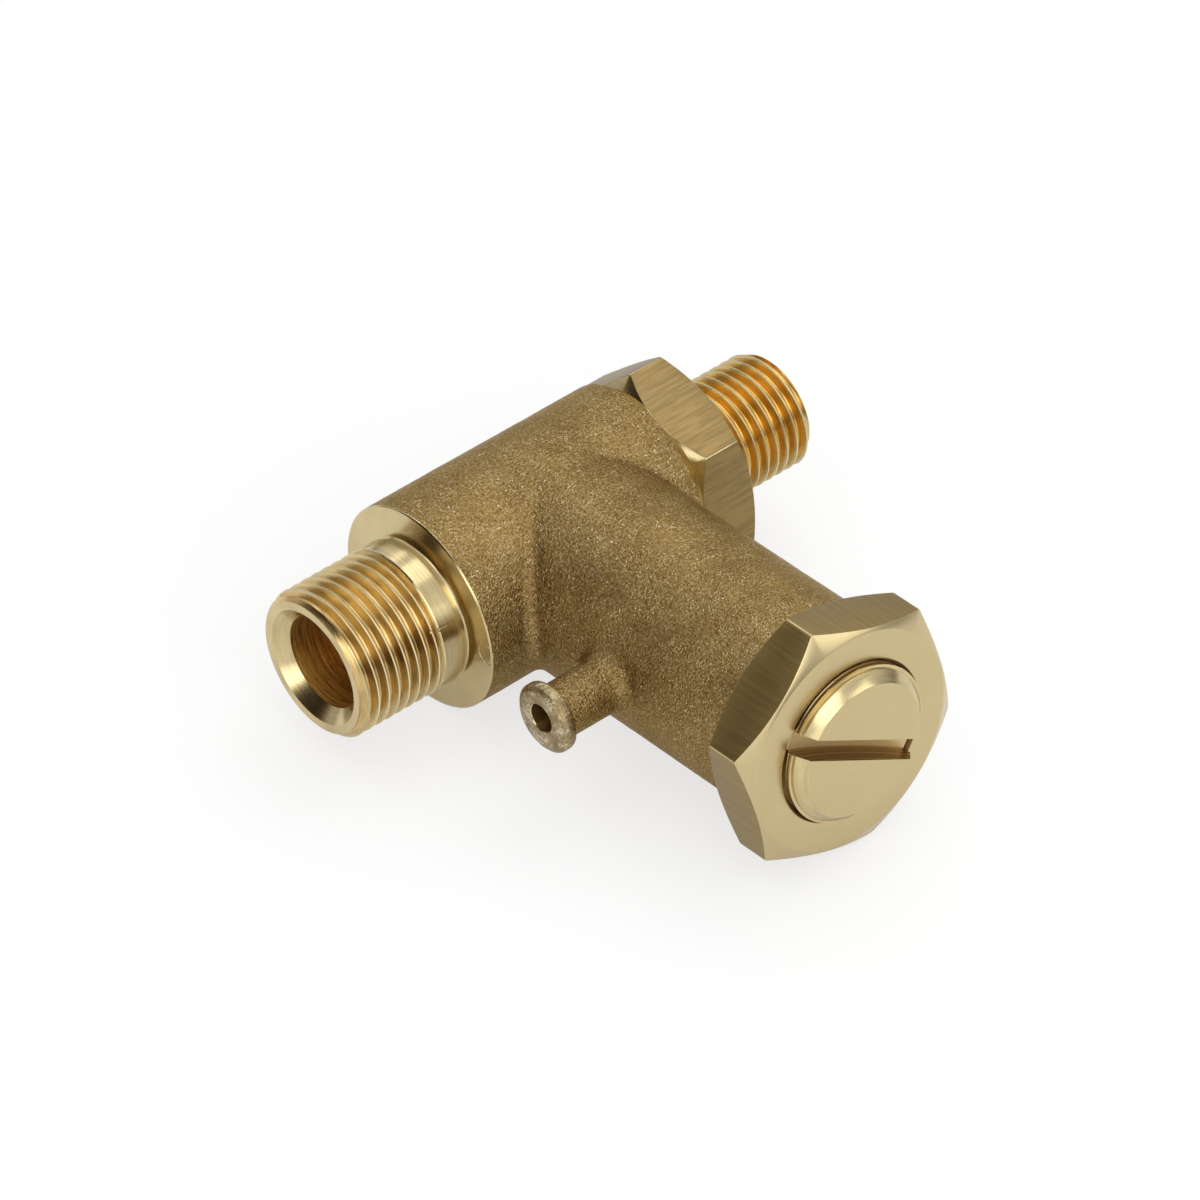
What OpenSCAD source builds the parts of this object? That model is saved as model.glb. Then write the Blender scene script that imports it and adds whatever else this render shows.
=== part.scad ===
// Brass non-return valve with a relief branch, for a small hot-water machine.
// The run lies along X, from the inlet thread (-X) to the outlet nipple (+X).
// The relief branch leaves the run towards -Y and ends in the adjusting screw.
// The origin is on the run's axis, in the plane of the machined inlet shoulder.

/* [Body] */
// Outside diameter of the run barrel
run_od = 23.2; // [22.4:0.1:26]
// Length of the run barrel, from the shoulder to the nipple
run_len = 29.4; // [28.6:0.1:34]
// Outside diameter of the branch barrel
branch_od = 23.1; // [22:0.1:23.2]
// Branch axis, from the shoulder
branch_x = 17.05; // [16.5:0.05:17.8]
// Length of the branch barrel, from the run's axis to the lock nut
branch_len = 41.2; // [40:0.1:48]
// Forging radius in the corners of the tee
tee_fillet = 1.6; // [0.8:0.1:2.4]
// Small chamfer on the machined barrel ends
barrel_chamfer = 0.2; // [0.1:0.05:0.5]

/* [Pipe threads] */
// Pitch of both pipe threads
pipe_pitch = 1.337; // [1.2:0.001:1.5]
// Depth of both pipe threads
thread_depth = 0.86; // [0.5:0.01:0.95]
// Width of the flat on a thread's crest and in its root
thread_flat = 0.22; // [0.1:0.01:0.35]

/* [Inlet] */
// Crest diameter of the inlet pipe thread
inlet_thread_d = 16.66; // [16.4:0.01:17.2]
// Inlet stub, from its end face to the shoulder
inlet_len = 14.2; // [12:0.1:18]
// Chamfer at the start of the inlet thread
inlet_chamfer = 0.75; // [0.4:0.05:1]
// Length of the plain neck behind the thread
neck_len = 2.4; // [1:0.1:4]
// Depth of the neck beside the thread, below the thread's crests
neck_drop = 0.28; // [0.1:0.01:0.6]
// Depth of the neck at its lip, below the thread's crests
lip_drop = 0.03; // [0:0.01:0.2]
// Width of the undercut between the neck and the shoulder
undercut_w = 0.95; // [0.5:0.05:1.5]
// Depth of the undercut, below the thread's crests
undercut_depth = 0.73; // [0.4:0.01:1]
// Width of the coned seat round the mouth of the bore
inlet_cone = 1.35; // [0.8:0.05:1.8]
// Inlet bore
inlet_bore_d = 10.5; // [9.5:0.1:11.5]
// Depth of the inlet bore past the shoulder
inlet_bore_end = 7.5; // [7.2:0.1:8.2]

/* [Check valve] */
// Hole through the check seat
check_hole_d = 6; // [5:0.1:6.6]
// Wall between the inlet bore and the check chamber
check_wall = 4; // [3.6:0.1:4.6]
// Height of the raised lip round a seat hole
seat_lip_h = 0.8; // [0.5:0.1:1]
// Width of the raised lip round a seat hole
seat_lip_w = 0.9; // [0.6:0.1:1.2]
// Bore of the check chamber
chamber_d = 12.5; // [12:0.1:13]
// How far the check poppet's flats lie inside the chamber's wall
poppet_flat = 0.65; // [0.35:0.05:0.8]
// Length of the check poppet
poppet_len = 5.4; // [5:0.1:5.8]
// Sealing disc in the check poppet
check_seal_d = 9.1; // [8.8:0.1:9.3]
// Depth of the spring recess in the back of the check poppet
poppet_recess = 2.5; // [2:0.1:2.7]
// Width of the notches across the skirt
poppet_notch_w = 2.2; // [1.5:0.1:3]
// Depth of the notches across the skirt
poppet_notch = 1.5; // [1:0.1:2]
// Lift of the check poppet, until its skirt meets the outlet nipple
check_lift = 2.8; // [2.4:0.1:3.2]
// Outside diameter of the check spring
check_spring_d = 7.6; // [7:0.1:7.8]
// Wire of the check spring
check_wire = 0.7; // [0.5:0.05:0.8]
// Turns of the check spring
check_turns = 6; // [4:0.5:8]

/* [Outlet nipple] */
// Across the flats of the nipple's hexagon
nipple_af = 21.9; // [21:0.1:24]
// Length of the hexagon
nipple_hex_len = 7.2; // [6:0.1:9]
// How far the hexagon is turned when tight
nipple_turn = -8; // [-30:1:30]
// Crest diameter of the outlet pipe thread
outlet_thread_d = 13.16; // [13:0.01:14]
// Length of the outlet thread
outlet_len = 12.1; // [9:0.1:15]
// Chamfer at the start of the outlet thread
outlet_chamfer = 0.85; // [0.4:0.05:1]
// Outlet bore
outlet_bore_d = 7; // [6:0.1:7.6]
// Chamfer in the mouth of the outlet bore
outlet_mouth = 0.8; // [0.3:0.1:1.2]
// Diameter of the screwed shank inside the body
shank_d = 16; // [15.4:0.1:17]
// Thickness of the gasket behind the shank
gasket_t = 1; // [0.8:0.1:1.2]
// Depth of the check spring's pocket in the shank
spring_pocket = 4; // [3:0.1:5]

/* [Relief valve] */
// Hole through the relief seat
relief_hole_d = 4; // [3:0.1:5]
// Wall between the check chamber and the relief bore
relief_wall = 3.05; // [2.4:0.05:3.4]
// Bore that the relief piston slides in
relief_bore_d = 14.8; // [14.4:0.1:15.2]
// How far the relief piston's flats lie inside the bore's wall
piston_flat = 0.8; // [0.4:0.05:0.95]
// Length of the relief piston's guided body
piston_len = 5; // [4.5:0.1:6]
// Sealing disc in the relief piston
relief_seal_d = 8; // [7:0.1:9]
// Lift of the relief piston, until its pilot meets the spring seat's
relief_lift = 1.5; // [0.8:0.1:1.8]
// Outside diameter of the relief spring
relief_spring_d = 11.4; // [10.8:0.1:11.8]
// Wire of the relief spring
relief_wire = 1.4; // [1.2:0.05:1.5]
// Turns of the relief spring
relief_turns = 5.5; // [4:0.5:5.5]
// Length of the relief spring as it is set
relief_spring_len = 11.7; // [11:0.1:12.5]
// Radial room between the spring seat's plate and the relief bore
plate_room = 0.4; // [0.2:0.05:0.9]
// Thickness of the spring seat's plate
seat_plate_t = 1.8; // [1.4:0.1:2.4]
// Diameter of the thrust boss behind the plate
thrust_boss_d = 6; // [5:0.1:8]
// Height of the thrust boss
thrust_boss_h = 0.6; // [0.4:0.1:0.8]

/* [Adjusting screw] */
// Diameter of the screw over its thread
screw_d = 17.9; // [17.6:0.1:18.4]
// How far the screw can be turned in or out from where it is set
screw_travel = 1.5; // [0.5:0.1:1.5]
// Screwed end that stands out of the lock nut, with its chamfer
screw_proud = 2.05; // [1.8:0.05:3]
// Chamfer round the outer face
screw_chamfer = 1.1; // [0.8:0.1:1.4]
// Width of the run-out groove beside the chamfer
runout_w = 0.25; // [0.15:0.05:0.4]
// Depth of the run-out groove
runout_depth = 0.35; // [0.2:0.05:0.5]
// Width of the screwdriver slot
slot_w = 2.3; // [1.6:0.1:3]
// Depth of the slot at its middle
slot_depth = 3.3; // [2.5:0.1:4]
// Radius of the saw that cuts the slot
slot_saw_r = 50; // [35:1:80]
// Direction of the slot as set
slot_turn = -28.8; // [-90:0.1:90]
// Section of the sealing ring on the nose
ring_section = 1.78; // [1.5:0.01:2]
// Width of the sealing ring's groove
ring_groove_w = 2.2; // [2.1:0.1:2.5]

/* [Lock nut] */
// Across the flats of the lock nut
nut_af = 25.9; // [25:0.1:28]
// Thickness of the lock nut
nut_t = 6.5; // [5:0.1:8]
// Chamfer in the mouths of the lock nut's hole
nut_mouth = 0.3; // [0.2:0.05:0.6]
// How far the lock nut is turned when tight
nut_turn = -17.5; // [-30:0.5:30]

/* [Drain spigot] */
// Spigot axis, from the run's axis
spigot_y = 23.1; // [21.5:0.1:24]
// Spigot tip, from the branch axis
spigot_reach = 20.2; // [17:0.1:24]
// Diameter of the spigot's stem
spigot_stem_d = 6; // [5.4:0.1:7]
// Diameter over the bead that holds the hose
bead_d = 7.8; // [7.4:0.1:9]
// Diameter of the bead's flat nose
bead_nose_d = 6.8; // [6:0.1:7.2]
// Length of the bead
bead_len = 1.9; // [1.6:0.1:2.6]
// Drain hole
drain_hole_d = 3.2; // [2.6:0.1:3.8]
// How far the drain hole was drilled above the spigot's axis
drain_hole_rise = 0.3; // [0:0.05:0.4]
// Radius at the spigot's root
spigot_fillet = 1.4; // [0.8:0.1:2]

/* [Fits] */
// Radial clearance of a sliding or turning fit
slide_fit = 0.08; // [0.03:0.01:0.1]
// Clearance between screwed or seated pieces
seat_fit = 0.05; // [0.03:0.01:0.1]
// Angle between a hexagon's face and its chamfer
hex_chamfer_angle = 30; // [20:1:40]
// How far the edge of a hexagon's flat face lies inside the flats
hex_face_inset = 0.4; // [0.2:0.05:0.8]

/* [Hidden] */
$fn = 96;

forged = "#8f7647";
turned = "#c9b485";
bright = "#d8c592";
rubber = "#2b2724";
fibre = "#b9b2a2";
spring_wire = "#a9adb0";

// A cut runs this far past the face that it opens
past = 1;
// Corners of a hexagon stand this much further out than its flats
corner = 1 / cos(30);

// Sealing discs stand out of their recesses by half the seat lip
disc_proud = seat_lip_h / 2;
// Thickness of both sealing discs
disc_t = 2.2;
// Room between a spring and what centres it
spring_room = 0.4;
// Land on each side of the sealing ring's groove
ring_land = 0.8;
// Room left at the end of the screw's travel
end_room = 0.3;
// A blend dips this far below the surfaces that it joins, and its root lies this deep inside them
blend_sink = 0.05;
blend_root = 1;
// Chamfer on the edges of the small turned pieces
small_edge = 0.5;

// Places along the run
inlet_end = -inlet_len;
thread_end = -undercut_w - neck_len;
check_floor = inlet_bore_end + check_wall;
check_seat_x = check_floor + seat_lip_h;
poppet_x = check_seat_x + seat_fit + disc_proud;
poppet_back = poppet_x + poppet_len;
recess_floor = poppet_back - poppet_recess;
shank_end = poppet_back + check_lift + seat_fit;
gasket_x = shank_end - gasket_t;
pocket_floor = shank_end + spring_pocket;
hex_end = run_len + nipple_hex_len;
outlet_end = hex_end + outlet_len;

// Places along the branch, counted from the run's axis
relief_floor = chamber_d / 2 + relief_wall;
relief_seat_y = relief_floor + seat_lip_h;
piston_y = relief_seat_y + seat_fit + disc_proud;
piston_back = piston_y + piston_len;
plate_y = piston_back + relief_spring_len;
nose_y = plate_y + seat_plate_t + thrust_boss_h + seat_fit;
relief_bore_end = nose_y + ring_land + ring_groove_w + screw_travel + end_room;
screw_thread_y = relief_bore_end + screw_travel + end_room;
nut_face = branch_len + nut_t;
screw_face = nut_face + screw_proud;

// The check spring's recess in the poppet and its pocket in the nipple
recess_d = check_spring_d + 2 * spring_room;
// Pilots that centre the relief spring, and meet when the piston has its full lift
pilot_r = relief_spring_d / 2 - relief_wire - spring_room;
pilot_len = (relief_spring_len - relief_lift - screw_travel) / 2 - seat_fit;

// Profile points of a thread's grooves, counted from the place where the thread starts.
// They are rings one pitch apart, which lean less than 2 degrees from a true helix.
function grooves(start, end, crest_r) =
    [for (i = [0:floor((end - start) / pipe_pitch) - 1]) let (place = start + i * pipe_pitch)
        each [[place + thread_flat / 2, crest_r],
              [place + (pipe_pitch - thread_flat) / 2, crest_r - thread_depth],
              [place + (pipe_pitch + thread_flat) / 2, crest_r - thread_depth],
              [place + pipe_pitch - thread_flat / 2, crest_r]]];

// Turns a profile of [place, radius] points about the run's axis
module on_run(points) {
    rotate([0, 90, 0])
        rotate_extrude()
            polygon([for (p = points) [p[1], p[0]]]);
}

// Turns a profile of [place, radius] points about the branch's axis
module on_branch(points) {
    translate([branch_x, 0, 0])
        rotate([90, 0, 0])
            rotate_extrude()
                polygon([for (p = points) [p[1], p[0]]]);
}

// A hexagonal bar with both ends chamfered, standing on z = 0
module hexagon(af, length) {
    inset_r = af / 2 - hex_face_inset;
    slope = tan(hex_chamfer_angle);
    reach = af / 2 * corner + past;
    drop = (reach - inset_r) * slope;
    intersection() {
        cylinder(d = af * corner, h = length, $fn = 6);
        rotate_extrude()
            polygon([[0, 0], [inset_r, 0], [reach, drop], [reach, length - drop],
                     [inset_r, length], [0, length]]);
    }
}

// Wire of a compression spring along z. Its end turns lie close and are ground flat.
module coil(outside_d, wire, turns, length) {
    steps = 20;
    sides = 8;
    mean_r = (outside_d - wire) / 2;
    last = turns * steps;
    // Height of the wire's centre at the ground tip, and the rise of an end turn
    tip = 0.2 * wire;
    close_pitch = 1.02 * wire;
    open_pitch = (length - 2 * tip - 2 * close_pitch) / (turns - 2);
    function rise(t) = tip + min(t, 1) * close_pitch + max(t - 1, 0) * open_pitch;
    function height(t) = t < turns - 1 ? rise(t) : length - rise(turns - t);
    function ground(z) = min(max(z, 0), length);
    points = [for (i = [0:last], k = [0:sides - 1])
        let (a = 360 * i / steps, b = 360 * (k + 0.5) / sides, r = mean_r + wire / 2 * cos(b))
        [r * cos(a), r * sin(a), ground(height(i / steps) + wire / 2 * sin(b))]];
    skin = [for (i = [0:last - 1], k = [0:sides - 1])
        let (n = (k + 1) % sides)
        [i * sides + k, i * sides + n, (i + 1) * sides + n, (i + 1) * sides + k]];
    first_cap = [[for (k = [sides - 1:-1:0]) k]];
    last_cap = [[for (k = [0:sides - 1]) last * sides + k]];
    polyhedron(points, concat(skin, first_cap, last_cap), convexity = 10);
}

// Forging radius in one corner of the tee, side = -1 at the inlet and 1 at the outlet.
// In every level slice it is an arc in the corner between the two barrels, and it runs out
// to nothing where the barrels meet at the top and bottom.
module tee_corner(side) {
    levels = 26;
    arc_steps = 7;
    top_angle = 76;
    run_r = run_od / 2;
    branch_r = branch_od / 2;
    low_r = min(run_r, branch_r);
    function section(angle) =
        let (z = low_r * sin(angle), dip = blend_sink / cos(angle), r = tee_fillet * cos(angle))
        let (u = sqrt(branch_r * branch_r - z * z), v = sqrt(run_r * run_r - z * z))
        let (cu = u + r - dip, cv = v + r - dip)
        concat([[u - blend_root, v - blend_root, z], [cu, v - blend_root, z]],
               [for (i = [0:arc_steps]) let (a = 270 - 90 * i / arc_steps)
                   [cu + r * cos(a), cv + r * sin(a), z]],
               [[u - blend_root, cv, z]]);
    rings = [for (i = [0:levels]) section(top_angle * (2 * i / levels - 1))];
    count = len(rings[0]);
    points = [for (ring = rings, p = ring) [branch_x + side * p[0], -p[1], p[2]]];
    // The inlet's corner is the mirror image of the outlet's, so its faces are turned over
    function facing(face) = side > 0 ? face : [for (i = [len(face) - 1:-1:0]) face[i]];
    skin = [for (i = [0:levels - 1], k = [0:count - 1])
        let (n = (k + 1) % count)
        facing([i * count + k, i * count + n, (i + 1) * count + n, (i + 1) * count + k])];
    bottom = facing([for (k = [count - 1:-1:0]) k]);
    top = facing([for (k = [0:count - 1]) levels * count + k]);
    polyhedron(points, concat(skin, [bottom, top]), convexity = 6);
}

// Forging radius round the root of the spigot. In every plane through the spigot's axis it is
// a curve that leaves the stem along its side and meets the branch barrel along its surface.
module spigot_root() {
    around = 48;
    curve_steps = 6;
    stem_r = spigot_stem_d / 2 - blend_sink;
    foot_r = stem_r + spigot_fillet;
    branch_r = branch_od / 2;
    // How far the barrel has fallen away at a distance r from the spigot's axis
    function fall(r, a) = branch_r + blend_sink - sqrt(branch_r * branch_r - pow(r * sin(a), 2));
    function curve(a, t) =
        (1 - t) * (1 - t) * [stem_r, fall(stem_r, a) - spigot_fillet]
        + 2 * t * (1 - t) * [stem_r, fall(stem_r, a)]
        + t * t * [foot_r, fall(foot_r, a)];
    function section(a) =
        concat([for (i = [0:curve_steps]) curve(a, i / curve_steps)],
               [[foot_r, fall(foot_r, a) + blend_root], [stem_r - blend_root, fall(foot_r, a) + blend_root],
                [stem_r - blend_root, fall(stem_r, a) - spigot_fillet]]);
    rings = [for (k = [0:around - 1]) section(360 * k / around)];
    count = len(rings[0]);
    points = [for (k = [0:around - 1], p = rings[k]) let (a = 360 * k / around)
        [branch_x - branch_r + p[1], -spigot_y + p[0] * cos(a), p[0] * sin(a)]];
    skin = [for (k = [0:around - 1], i = [0:count - 1])
        let (m = (k + 1) % around, n = (i + 1) % count)
        [k * count + i, k * count + n, m * count + n, m * count + i]];
    polyhedron(points, skin, convexity = 6);
}

// Outside of the run: threaded stub, neck, undercut, shoulder and barrel
module run_outside() {
    thread_r = inlet_thread_d / 2;
    run_r = run_od / 2;
    thread_start = inlet_end + inlet_chamfer;
    stub = concat([[inlet_end, 0], [inlet_end, thread_r - inlet_chamfer], [thread_start, thread_r]],
                  grooves(thread_start, thread_end, thread_r),
                  [[thread_end, thread_r], [thread_end, thread_r - neck_drop],
                   [-undercut_w, thread_r - lip_drop], [-undercut_w, thread_r - undercut_depth],
                   [0, thread_r - undercut_depth]]);
    barrel = [[0, run_r - barrel_chamfer], [barrel_chamfer, run_r], [run_len - barrel_chamfer, run_r],
              [run_len, run_r - barrel_chamfer], [run_len, 0]];
    on_run(concat(stub, barrel));
}

// Outside of the branch barrel
module branch_outside() {
    branch_r = branch_od / 2;
    on_branch([[0, 0], [0, branch_r], [branch_len - barrel_chamfer, branch_r],
               [branch_len, branch_r - barrel_chamfer], [branch_len, 0]]);
}

// Hose spigot beside the inlet: a stem with a bead that holds the hose
module spigot_outside() {
    stem_r = spigot_stem_d / 2;
    bead_r = bead_d / 2;
    edge = (bead_d - bead_nose_d) / 2;
    translate([branch_x - spigot_reach, -spigot_y, 0])
        on_run([[0, 0], [0, bead_nose_d / 2], [edge, bead_r], [bead_len - edge, bead_r],
                [bead_len, stem_r], [spigot_reach - relief_bore_d / 2, stem_r],
                [spigot_reach - relief_bore_d / 2, 0]]);
}

// Everything bored along the run: cone, inlet bore, check seat, chamber and nipple socket
module run_passage() {
    bore_r = inlet_bore_d / 2;
    cone_r = bore_r + inlet_cone;
    hole_r = check_hole_d / 2;
    lip_r = hole_r + seat_lip_w;
    chamber_r = chamber_d / 2;
    socket_r = shank_d / 2 + seat_fit;
    on_run([[inlet_end - past, 0], [inlet_end - past, cone_r], [inlet_end, cone_r],
            [inlet_end + inlet_cone, bore_r], [inlet_bore_end, bore_r],
            [inlet_bore_end, hole_r], [check_seat_x, hole_r], [check_seat_x, lip_r],
            [check_floor, lip_r], [check_floor, chamber_r], [gasket_x, chamber_r],
            [gasket_x, socket_r], [run_len + past, socket_r], [run_len + past, 0]]);
}

// Everything bored along the branch: relief hole, seat, piston bore and screw thread
module branch_passage() {
    hole_r = relief_hole_d / 2;
    lip_r = hole_r + seat_lip_w;
    bore_r = relief_bore_d / 2;
    thread_r = screw_d / 2 + seat_fit;
    on_branch([[0, 0], [0, hole_r], [relief_seat_y, hole_r], [relief_seat_y, lip_r],
               [relief_floor, lip_r], [relief_floor, bore_r], [relief_bore_end, bore_r],
               [relief_bore_end, thread_r], [branch_len + past, thread_r], [branch_len + past, 0]]);
}

// The drain hole, from the spigot's tip into the relief bore
module drain_passage() {
    translate([branch_x - spigot_reach - past, -spigot_y, drain_hole_rise])
        rotate([0, 90, 0])
            cylinder(d = drain_hole_d, h = spigot_reach + past);
}

// Everything that the machined outlet end of the run cuts away, such as the tail of a tee corner
module outlet_face() {
    translate([run_len, -run_od, -run_od])
        cube([run_od, 2 * run_od, 2 * run_od]);
}

module body() {
    color(forged)
        difference() {
            union() {
                run_outside();
                branch_outside();
                tee_corner(-1);
                tee_corner(1);
                spigot_outside();
                spigot_root();
            }
            outlet_face();
            run_passage();
            branch_passage();
            drain_passage();
        }
}

module outlet_nipple() {
    thread_r = outlet_thread_d / 2;
    thread_end = outlet_end - outlet_chamfer;
    bore_r = outlet_bore_d / 2;
    pocket_r = recess_d / 2;
    shank_r = shank_d / 2;
    color(turned)
        difference() {
            union() {
                on_run([[shank_end, 0], [shank_end, shank_r - small_edge],
                        [shank_end + small_edge, shank_r], [run_len + past, shank_r],
                        [run_len + past, 0]]);
                translate([run_len, 0, 0])
                    rotate([0, 90, 0])
                        rotate(nipple_turn)
                            hexagon(nipple_af, nipple_hex_len);
                on_run(concat([[hex_end - past, 0], [hex_end - past, thread_r]],
                              grooves(hex_end, thread_end, thread_r),
                              [[thread_end, thread_r], [outlet_end, thread_r - outlet_chamfer],
                               [outlet_end, 0]]));
            }
            on_run([[shank_end - past, 0], [shank_end - past, pocket_r], [pocket_floor, pocket_r],
                    [pocket_floor, bore_r], [outlet_end - outlet_mouth, bore_r],
                    [outlet_end, bore_r + outlet_mouth], [outlet_end + past, bore_r + outlet_mouth],
                    [outlet_end + past, 0]]);
        }
}

module nipple_gasket() {
    inner_r = chamber_d / 2 + seat_fit;
    outer_r = shank_d / 2 - seat_fit;
    color(fibre)
        on_run([[gasket_x, inner_r], [gasket_x, outer_r], [shank_end, outer_r], [shank_end, inner_r]]);
}

// Fluted slide: a round body with six flats that let the water past
module fluted(points, af, length) {
    intersection() {
        rotate_extrude()
            polygon([for (p = points) [p[1], p[0]]]);
        cylinder(d = af * corner, h = length, $fn = 6);
    }
}

module check_poppet() {
    guide_r = chamber_d / 2 - slide_fit;
    seal_r = check_seal_d / 2 + seat_fit;
    seal_floor = disc_t - disc_proud;
    back_r = recess_d / 2;
    color(bright)
        translate([poppet_x, 0, 0])
            rotate([0, 90, 0])
                difference() {
                    fluted([[0, seal_r], [0, guide_r - small_edge], [small_edge, guide_r], [poppet_len, guide_r],
                            [poppet_len, back_r], [poppet_len - poppet_recess, back_r],
                            [poppet_len - poppet_recess, 0], [seal_floor, 0], [seal_floor, seal_r]],
                           chamber_d - 2 * poppet_flat, poppet_len);
                    for (turn = [0, 90])
                        rotate(turn)
                            translate([-chamber_d, -poppet_notch_w / 2, poppet_len - poppet_notch])
                                cube([2 * chamber_d, poppet_notch_w, poppet_notch + past]);
                }
}

module check_seal() {
    color(rubber)
        on_run([[check_seat_x + seat_fit, 0], [check_seat_x + seat_fit, check_seal_d / 2],
                [check_seat_x + seat_fit + disc_t, check_seal_d / 2],
                [check_seat_x + seat_fit + disc_t, 0]]);
}

module check_spring() {
    color(spring_wire)
        translate([recess_floor, 0, 0])
            rotate([0, 90, 0])
                coil(check_spring_d, check_wire, check_turns, pocket_floor - recess_floor);
}

// Moves a piece made along z to its place on the branch, with z pointing outwards
module at_branch(place) {
    translate([branch_x, -place, 0])
        rotate([90, 0, 0])
            children();
}

module relief_piston() {
    guide_r = relief_bore_d / 2 - slide_fit;
    seal_r = relief_seal_d / 2 + seat_fit;
    seal_floor = disc_t - disc_proud;
    color(bright)
        at_branch(piston_y) {
            fluted([[0, seal_r], [0, guide_r - small_edge], [small_edge, guide_r], [piston_len, guide_r],
                    [piston_len, 0], [seal_floor, 0], [seal_floor, seal_r]],
                   relief_bore_d - 2 * piston_flat, piston_len);
            translate([0, 0, piston_len - past])
                cylinder(r = pilot_r, h = pilot_len + past);
        }
}

module relief_seal() {
    color(rubber)
        at_branch(relief_seat_y + seat_fit)
            cylinder(d = relief_seal_d, h = disc_t);
}

module relief_spring() {
    color(spring_wire)
        at_branch(piston_back)
            coil(relief_spring_d, relief_wire, relief_turns, relief_spring_len);
}

module spring_seat() {
    plate_r = relief_bore_d / 2 - plate_room;
    boss_r = thrust_boss_d / 2;
    boss_end = seat_plate_t + thrust_boss_h;
    color(turned)
        at_branch(plate_y)
            rotate_extrude()
                polygon([[0, -pilot_len], [pilot_r - small_edge, -pilot_len],
                         [pilot_r, small_edge - pilot_len], [pilot_r, 0], [plate_r - small_edge, 0],
                         [plate_r, small_edge], [plate_r, seat_plate_t], [boss_r, seat_plate_t],
                         [boss_r, boss_end], [0, boss_end]]);
}

module adjusting_screw() {
    nose_r = relief_bore_d / 2 - slide_fit;
    nose_len = screw_thread_y - nose_y;
    groove_r = relief_bore_d / 2 - ring_section;
    groove_end = ring_land + ring_groove_w;
    thread_r = screw_d / 2;
    length = screw_face - nose_y;
    chamfer_start = length - screw_chamfer;
    runout_r = thread_r - runout_depth;
    face_r = runout_r - screw_chamfer;
    color(turned)
        at_branch(nose_y)
            difference() {
                rotate_extrude()
                    polygon([[0, 0], [nose_r - small_edge, 0], [nose_r, small_edge],
                             [nose_r, ring_land], [groove_r, ring_land], [groove_r, groove_end],
                             [nose_r, groove_end], [nose_r, nose_len], [runout_r, nose_len],
                             [thread_r, nose_len + runout_depth],
                             [thread_r, chamfer_start - runout_w], [runout_r, chamfer_start - runout_w],
                             [runout_r, chamfer_start], [face_r, length], [0, length]]);
                rotate(slot_turn)
                    saw_cut(length);
            }
}

// Cut of a slitting saw across an end face at height z: a slot with a hollow floor
module saw_cut(z) {
    intersection() {
        translate([-screw_d, -slot_w / 2, z - slot_depth])
            cube([2 * screw_d, slot_w, slot_depth + past]);
        translate([0, 0, z - slot_depth + slot_saw_r])
            rotate([90, 0, 0])
                cylinder(r = slot_saw_r, h = 2 * slot_w, center = true, $fn = 180);
    }
}

module screw_o_ring() {
    ring_r = ring_section / 2 - seat_fit / 2;
    color(rubber)
        at_branch(nose_y + ring_land + ring_groove_w / 2)
            rotate_extrude()
                translate([relief_bore_d / 2 - ring_section / 2, 0])
                    circle(r = ring_r, $fn = 32);
}

module lock_nut() {
    hole_r = screw_d / 2 + seat_fit;
    mouth_r = hole_r + nut_mouth;
    color(turned)
        at_branch(branch_len)
            difference() {
                rotate(nut_turn)
                    hexagon(nut_af, nut_t);
                rotate_extrude()
                    polygon([[0, -past], [mouth_r, -past], [mouth_r, 0], [hole_r, nut_mouth],
                             [hole_r, nut_t - nut_mouth], [mouth_r, nut_t],
                             [mouth_r, nut_t + past], [0, nut_t + past]]);
            }
}

body();
outlet_nipple();
nipple_gasket();
check_poppet();
check_seal();
check_spring();
relief_piston();
relief_seal();
relief_spring();
spring_seat();
adjusting_screw();
screw_o_ring();
lock_nut();
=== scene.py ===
import math

import bmesh
import bpy
import numpy as np
from mathutils import Matrix, Vector

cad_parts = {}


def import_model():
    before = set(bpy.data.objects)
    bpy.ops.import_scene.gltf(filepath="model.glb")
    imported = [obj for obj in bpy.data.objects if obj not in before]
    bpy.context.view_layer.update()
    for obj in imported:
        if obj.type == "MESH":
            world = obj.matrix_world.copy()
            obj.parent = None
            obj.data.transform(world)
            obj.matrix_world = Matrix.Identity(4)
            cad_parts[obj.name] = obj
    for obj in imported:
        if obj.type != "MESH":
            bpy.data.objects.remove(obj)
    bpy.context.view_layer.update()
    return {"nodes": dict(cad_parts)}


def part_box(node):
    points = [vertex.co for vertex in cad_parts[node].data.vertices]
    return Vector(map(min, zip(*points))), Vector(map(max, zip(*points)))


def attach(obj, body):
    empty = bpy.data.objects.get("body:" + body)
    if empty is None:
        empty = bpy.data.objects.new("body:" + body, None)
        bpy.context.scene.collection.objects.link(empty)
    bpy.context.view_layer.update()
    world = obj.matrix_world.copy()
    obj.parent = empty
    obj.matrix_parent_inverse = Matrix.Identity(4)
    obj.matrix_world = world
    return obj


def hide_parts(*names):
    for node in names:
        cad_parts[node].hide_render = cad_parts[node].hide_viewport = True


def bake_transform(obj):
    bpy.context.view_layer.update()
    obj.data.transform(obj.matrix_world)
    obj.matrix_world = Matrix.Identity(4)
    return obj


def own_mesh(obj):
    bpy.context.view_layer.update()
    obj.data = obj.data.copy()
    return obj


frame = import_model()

# Brass non-return valve with a relief branch. Everything here is worked out in millimetres, in
# the part's own frame: X along the run, -Y along the branch, Z up. Pieces turn into metres last.
MM = 0.001
# Turned profiles start this far from their axis, and a face whose middle is this near to a surface
# counts as part of it.
axis_r = 0.01
near = 0.05


def node_box(node):
    """Lowest and highest corner of a CAD node, in millimetres."""
    low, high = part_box(node)
    return np.array(low) / MM, np.array(high) / MM


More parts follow.
